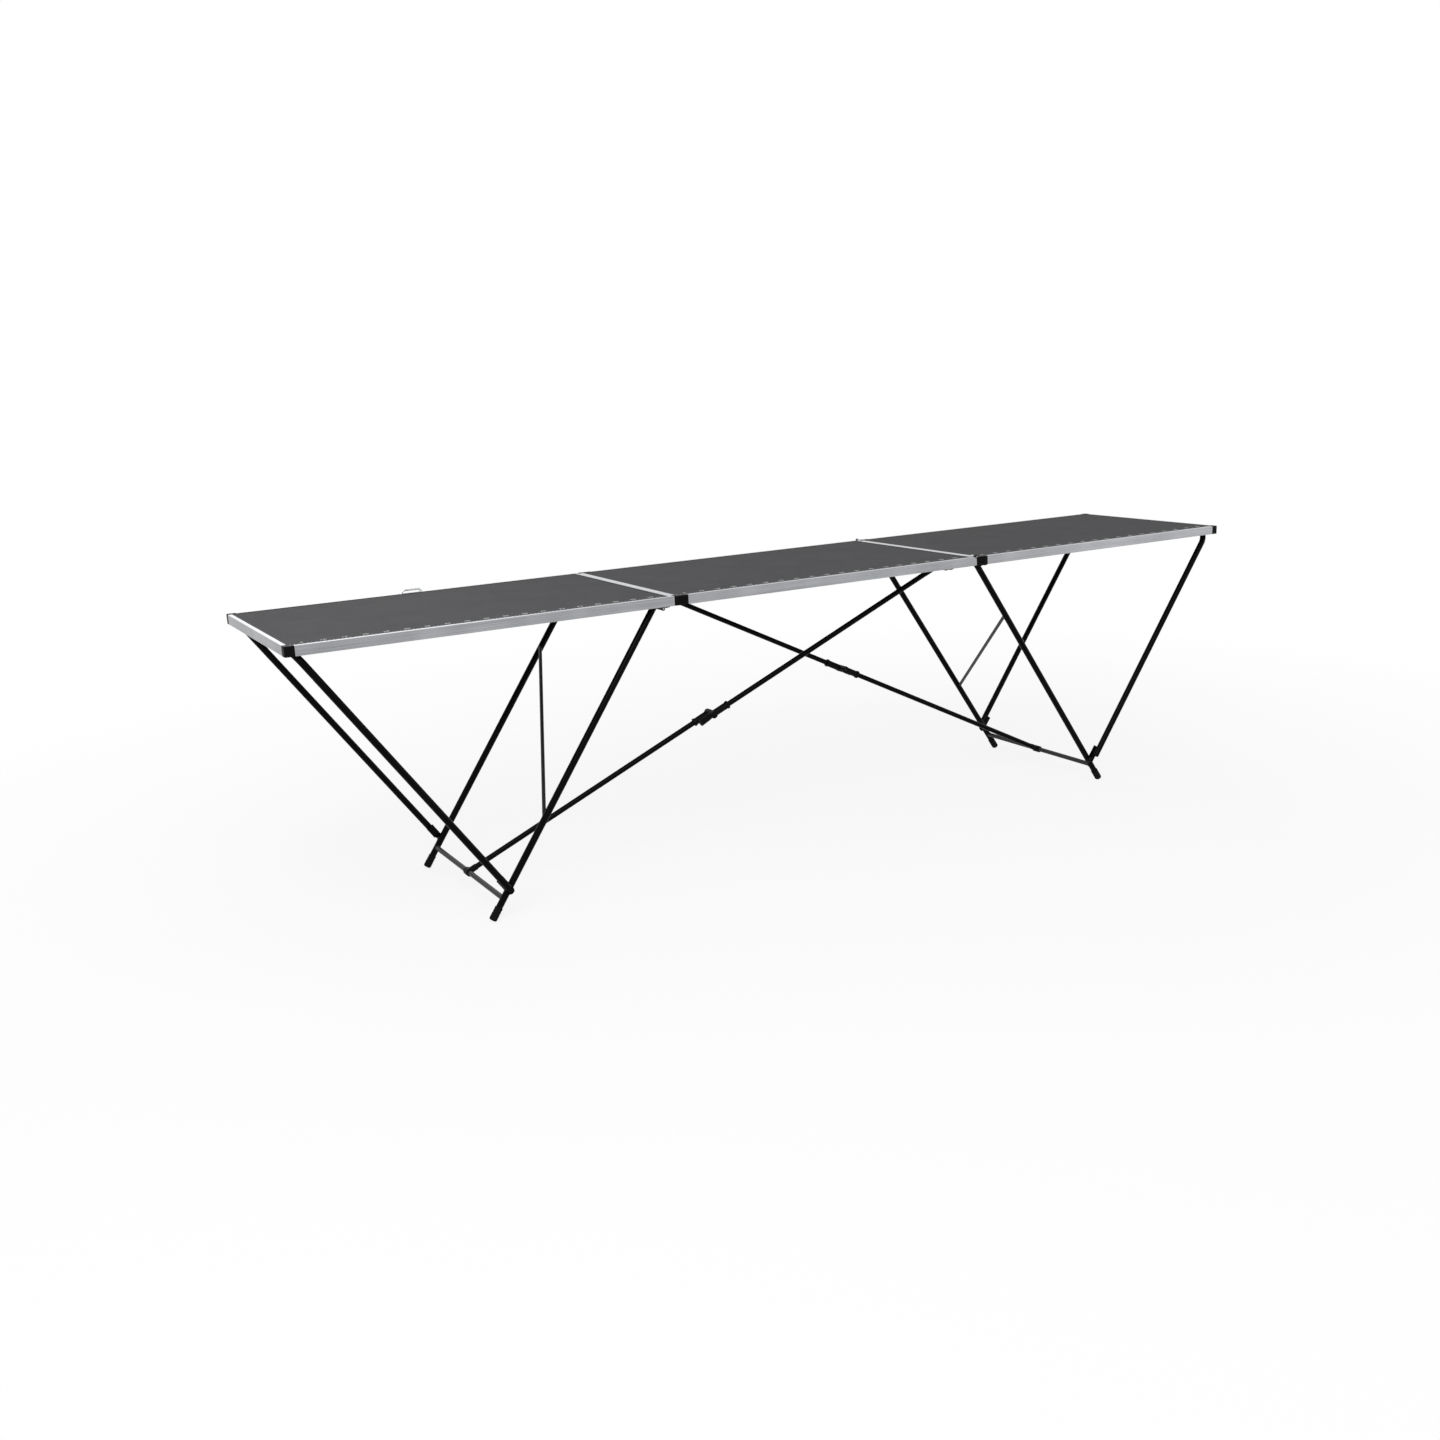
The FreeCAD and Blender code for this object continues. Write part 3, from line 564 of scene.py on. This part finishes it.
def turnedMesh(name, stems, finish, floorCut=False):
    # each stem is a profile of (along, radius) in mm, turned about its own axis and capped
    turns = 36
    points, faces = [], []
    for origin, axis, profile in stems:
        axis = Vector(axis).normalized()
        sideways = axis.orthogonal().normalized()
        upright = axis.cross(sideways)
        first = len(points)
        for along, radius in profile:
            for k in range(turns):
                angle = 2 * math.pi * k / turns
                spoke = sideways * math.cos(angle) + upright * math.sin(angle)
                points.append(origin + axis * along * mm + spoke * radius * mm)
        for ring in range(len(profile) - 1):
            for k in range(turns):
                here, after = first + ring * turns + k, first + ring * turns + (k + 1) % turns
                faces.append((here, after, after + turns, here + turns))
        faces.append([first + k for k in reversed(range(turns))])
        faces.append([first + (len(profile) - 1) * turns + k for k in range(turns)])
    if floorCut:
        points = [(p[0], p[1], max(p[2], 0.0)) for p in points]
    mesh = bpy.data.meshes.new(name)
    mesh.from_pydata(points, [], faces)
    mesh.shade_smooth()
    mesh.set_sharp_from_angle(angle=crease)
    mesh.materials.append(finish)
    return mesh


# Rubber ferrules: two grip grooves, a rounded tip and a small flat worn by the floor
ferruleSize = {"from": 885.0, "length": 36.56, "bore": 8.6, "radius": 10.5, "groove": 9.7,
               "mouth": 9.9, "grooves": (6.0, 14.0), "grooveWidth": 3.0, "bevel": 0.8,
               "tip": 4.0, "tipSteps": 6}


def grooveProfile(start, size, floorRadius):
    end = start + size["grooveWidth"]
    return [(start, size["radius"]), (start + size["bevel"], floorRadius),
            (end - size["bevel"], floorRadius), (end, size["radius"])]


profile = [(0.0, ferruleSize["bore"]), (0.0, ferruleSize["mouth"]),
           (ferruleSize["bevel"], ferruleSize["radius"])]
for start in ferruleSize["grooves"]:
    profile += grooveProfile(start, ferruleSize, ferruleSize["groove"])
for k in range(ferruleSize["tipSteps"] + 1):
    angle = math.pi / 2 * k / ferruleSize["tipSteps"]
    profile.append((ferruleSize["length"] - ferruleSize["tip"] * (1 - math.sin(angle)),
                    ferruleSize["radius"] - ferruleSize["tip"] * (1 - math.cos(angle))))
for side in sides:
    start = pointAlong(legSize["pivot"], legSize["run"], ferruleSize["from"])
    stems = [(setPoint(side, start[0], row, start[1]), setFacing(side, *legSize["run"]), profile)
             for row in (legSize["row"], -legSize["row"])]
    name = side + "Ferrules"
    mesh = turnedMesh(name, stems, footRubber, True)
    ferrules = addPiece(name, mesh, side + "_leg")
    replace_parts(ferrules, side + "_leg_feet")
print("ferrules fitted")

# Moulded tail behind each upper knee socket, along the lower tube while the brace is straight
kneeSize = {"centre": (-311.098, -137.614, 407.169), "run": (-0.89278, -0.4505), "start": 7.0,
            "neck": (16.0, 18.0), "length": 46.0, "radius": 9.0, "waist": 8.3, "edge": 1.5,
            "grooves": (24.0, 30.0, 36.0), "grooveWidth": 3.0, "bevel": 0.8}
profile = [(kneeSize["start"], kneeSize["waist"]), (kneeSize["neck"][0], kneeSize["waist"]),
           (kneeSize["neck"][1], kneeSize["radius"])]
for start in kneeSize["grooves"]:
    profile += grooveProfile(start, kneeSize, kneeSize["waist"])
profile += [(kneeSize["length"] - kneeSize["edge"], kneeSize["radius"]),
            (kneeSize["length"], kneeSize["radius"] - kneeSize["edge"])]
for side in sides:
    stems = [(setPoint(side, *kneeSize["centre"]), setFacing(side, *kneeSize["run"]), profile)]
    name = side + "KneeTail"
    addPiece(name, turnedMesh(name, stems, blackPlastic), side + "_brace_upper")
print("knee tails fitted")


def carvedCopy(name, node, boxes, operation, finish):
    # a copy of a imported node, cut by or kept within plain boxes given as (centre, size)
    cutter = bmesh.new()
    for centre, size in boxes:
        block = bmesh.ops.create_cube(cutter, size=1.0)["verts"]
        bmesh.ops.scale(cutter, verts=block, vec=size)
        bmesh.ops.translate(cutter, verts=block, vec=centre)
    whole = bmesh.new()
    whole.from_mesh(nodes[node].data)
    bmesh.ops.remove_doubles(whole, verts=whole.verts, dist=0.001 * mm)
    holders = []
    for label, shape in (("Whole", whole), ("Cutter", cutter)):
        mesh = bpy.data.meshes.new(name + label)
        shape.to_mesh(mesh)
        shape.free()
        holders.append(bpy.data.objects.new(name + label, mesh))
        bpy.context.scene.collection.objects.link(holders[-1])
    knife = holders[0].modifiers.new("knife", "BOOLEAN")
    knife.object = holders[1]
    knife.operation = operation
    knife.solver = "EXACT"
    graph = bpy.context.evaluated_depsgraph_get()
    mesh = bpy.data.meshes.new_from_object(holders[0].evaluated_get(graph), depsgraph=graph)
    for holder in holders:
        bpy.data.objects.remove(holder)
    mesh.name = name
    mesh.materials.clear()
    mesh.materials.append(finish)
    return mesh


# Joint blocks with upright grip grooves in their outer faces
grooveSize = {"count": 6, "pitch": 4.5 * mm, "width": 1.6 * mm, "depth": 0.8 * mm,
              "margin": 4.0 * mm}
for node, name, body in (("middle_corner_blocks", "middleJointBlocks", "middle_panel"),
                         ("right_hinge_blocks", "rightJointBlocks", "right_panel")):
    low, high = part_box(node)
    tall = high[2] - low[2] - 2 * grooveSize["margin"]
    size = (grooveSize["width"], 2 * grooveSize["depth"], tall)
    x0, z0 = (low[0] + high[0]) / 2, (low[2] + high[2]) / 2
    middle = (grooveSize["count"] - 1) / 2
    cuts = [((x0 + (k - middle) * grooveSize["pitch"], y, z0), size)
            for k in range(grooveSize["count"]) for y in (low[1], high[1])]
    mesh = carvedCopy(name, node, cuts, "DIFFERENCE", blackPlastic)
    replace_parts(addPiece(name, mesh, body), node)
print("joint blocks grooved")

# Strut frames bent in the wider curves of the real tube and cut short of the leg pins.
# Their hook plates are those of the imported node.
bendSize = {"Bend Radius": 48 * mm, "Tube Radius": 9 * mm}
tubeTree, given = startTree("bentTube", {"Bend Radius": "Float", "Tube Radius": "Float"})
line = putNode(tubeTree, "GeometryNodeMeshToCurve", links={"Mesh": given["Geometry"]})
bend = putNode(tubeTree, "GeometryNodeFilletCurve",
               {"mode": "POLY", "Count": 14, "Limit Radius": True},
               {"Curve": line.outputs[0], "Radius": given["Bend Radius"]})
ring = putNode(tubeTree, "GeometryNodeCurvePrimitiveCircle", {"Resolution": 32},
               {"Radius": given["Tube Radius"]})
swept = putNode(tubeTree, "GeometryNodeCurveToMesh", {"Fill Caps": True}, {
    "Curve": bend.outputs[0], "Profile Curve": ring.outputs[0]})
endTree(tubeTree, swept.outputs[0], blackTube, True)
hookSize = {"rows": (258 * mm, 272 * mm), "reach": 60 * mm}
for side in sides:
    top, row = strutSize["top"], strutSize["row"]
    foot = pointAlong(top, strutSize["run"], strutSize["cut"])
    route = [setPoint(side, end[0], y, end[1])
             for end, y in ((foot, -row), (top, -row), (top, row), (foot, row))]
    seed = bpy.data.meshes.new(side + "StrutRoute")
    seed.from_pydata(route, [(0, 1), (1, 2), (2, 3)], [])
    name = side + "StrutFrame"
    tube = growMesh(name, seed, tubeTree, bendSize)
    tube.set_sharp_from_angle(angle=crease)
    rowMid, rowWidth = sum(hookSize["rows"]) / 2, hookSize["rows"][1] - hookSize["rows"][0]
    end = setPoint(side, foot[0], 0.0, foot[1])
    size = (2 * hookSize["reach"], rowWidth, 2 * hookSize["reach"])
    keep = [((end[0], midY + sign * rowMid, end[2]), size) for sign in (1, -1)]
    hooks = carvedCopy(side + "StrutHooks", side + "_strut_frame", keep, "INTERSECT", blackTube)
    both = bmesh.new()
    both.from_mesh(tube)
    both.from_mesh(hooks)
    both.to_mesh(tube)
    both.free()
    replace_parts(addPiece(name, tube, side + "_strut"), side + "_strut_frame")
print("strut frames bent")

# Stay across each leg frame as a round bar, as thick as it looks in the photograph
staySize = {"from": 215.0, "to": 629.0, "lift": 3.5, "Bend Radius": 0.0, "Tube Radius": 5 * mm}
for side in sides:
    runX, runZ = legSize["run"]
    ends = []
    for along, row in ((staySize["from"], legSize["row"]), (staySize["to"], -legSize["row"])):
        x, z = pointAlong(legSize["pivot"], legSize["run"], along)
        ends.append(setPoint(side, x + staySize["lift"] * runZ, row, z - staySize["lift"] * runX))
    name = side + "LegStay"
    seed = bpy.data.meshes.new(name + "Line")
    seed.from_pydata(ends, [(0, 1)], [])
    stay = growMesh(name, seed, tubeTree, staySize)
    stay.set_sharp_from_angle(angle=crease)
    stay.materials.clear()
    stay.materials.append(greySteel)
    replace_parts(addPiece(name, stay, side + "_leg"), side + "_leg_diagonal")
print("leg stays fitted")


def seenRay(tree):
    # 1 for what the camera sees, straight or by way of a mirror or glass
    path = putNode(tree, "ShaderNodeLightPath").outputs
    seen = putNode(tree, "ShaderNodeMath", {"operation": "MAXIMUM"},
                   {0: path["Is Camera Ray"], 1: path["Is Glossy Ray"]})
    return putNode(tree, "ShaderNodeMath", {"operation": "MAXIMUM"},
                   {0: seen.outputs[0], 1: path["Is Transmission Ray"]}).outputs[0]


# White floor and world, one soft key lamp and two fills.
# The floor fades into the white world a few metres out, so that no horizon shows.
floorLook = {"size": 60.0, "white": "#f4f4f4", "lift": (0.84, 1.0), "fade": (1.4, 3.4)}
floorMesh = bpy.data.meshes.new("floor")
half = floorLook["size"] / 2
floorMesh.from_pydata([(-half, -half, 0), (half, -half, 0), (half, half, 0), (-half, half, 0)], [],
                      [(0, 1, 2, 3)])
floorPaper = bpy.data.materials.new("whiteStudioPaper")
floorPaper.use_nodes = True
tree = floorPaper.node_tree
tree.nodes.clear()
matt = putNode(tree, "ShaderNodeBsdfDiffuse", {"Color": hexColour(floorLook["white"])})
glow = putNode(tree, "ShaderNodeEmission", {"Color": (1, 1, 1, 1), "Strength": 1.0})
spot = putNode(tree, "ShaderNodeTexCoord")
reach = putNode(tree, "ShaderNodeVectorMath", {"operation": "LENGTH"}, {0: spot.outputs["Object"]})
fade = putNode(tree, "ShaderNodeMapRange", {
    "From Min": floorLook["fade"][0], "From Max": floorLook["fade"][1],
    "To Min": floorLook["lift"][0], "To Max": floorLook["lift"][1]},
    {"Value": reach.outputs["Value"]})
share = putNode(tree, "ShaderNodeMath", {"operation": "MULTIPLY"},
                {0: seenRay(tree), 1: fade.outputs[0]})
blended = putNode(tree, "ShaderNodeMixShader", links={
    0: share.outputs[0], 1: matt.outputs[0], 2: glow.outputs[0]})
putNode(tree, "ShaderNodeOutputMaterial", links={"Surface": blended.outputs[0]})
floorMesh.materials.append(floorPaper)
floor = bpy.data.objects.new("floor", floorMesh)
bpy.context.scene.collection.objects.link(floor)

worldLook = {"lit": 0.5, "seen": 1.0}
world = bpy.data.worlds.new("whiteRoom")
bpy.context.scene.world = world
world.use_nodes = True
tree = world.node_tree
tree.nodes.clear()
strength = putNode(tree, "ShaderNodeMapRange", {
    "To Min": worldLook["lit"], "To Max": worldLook["seen"]}, {"Value": seenRay(tree)})
sky = putNode(tree, "ShaderNodeBackground", {"Color": (1, 1, 1, 1)},
              {"Strength": strength.outputs[0]})
putNode(tree, "ShaderNodeOutputWorld", links={"Surface": sky.outputs[0]})

lamps = {
    "keyLamp": {"place": (-2.3, -2.6, 3.4), "aim": (-0.3, 0.0, 0.6), "size": 2.6, "watts": 90},
    "rightFill": {"place": (3.4, -2.4, 1.6), "aim": (0.6, 0.0, 0.6), "size": 2.0, "watts": 12},
    "backFill": {"place": (-0.6, 3.4, 2.8), "aim": (-0.3, 0.0, 0.5), "size": 2.6, "watts": 24},
}
for name, lamp in lamps.items():
    data = bpy.data.lights.new(name, "AREA")
    data.energy = lamp["watts"]
    data.size = lamp["size"]
    light = bpy.data.objects.new(name, data)
    light.location = lamp["place"]
    gaze = Vector(lamp["aim"]) - light.location
    light.rotation_euler = gaze.to_track_quat("-Z", "Y").to_euler()
    bpy.context.scene.collection.objects.link(light)

# Camera solved from the table's corners, feet and joints in the photograph
view = {"place": (-2.2509, -3.5926, 1.3605), "turn": (76.202, 2.3815, -30.2145),
        "lens": 36.432, "sensor": 36}
cameraData = bpy.data.cameras.new("photoCamera")
cameraData.sensor_width = view["sensor"]
cameraData.sensor_fit = "HORIZONTAL"
cameraData.lens = view["lens"]
camera = bpy.data.objects.new("photoCamera", cameraData)
camera.location = view["place"]
camera.rotation_euler = [math.radians(a) for a in view["turn"]]
bpy.context.scene.collection.objects.link(camera)
bpy.context.scene.camera = camera
bpy.context.scene.view_settings.view_transform = "Standard"
print("room, lamps and camera set")
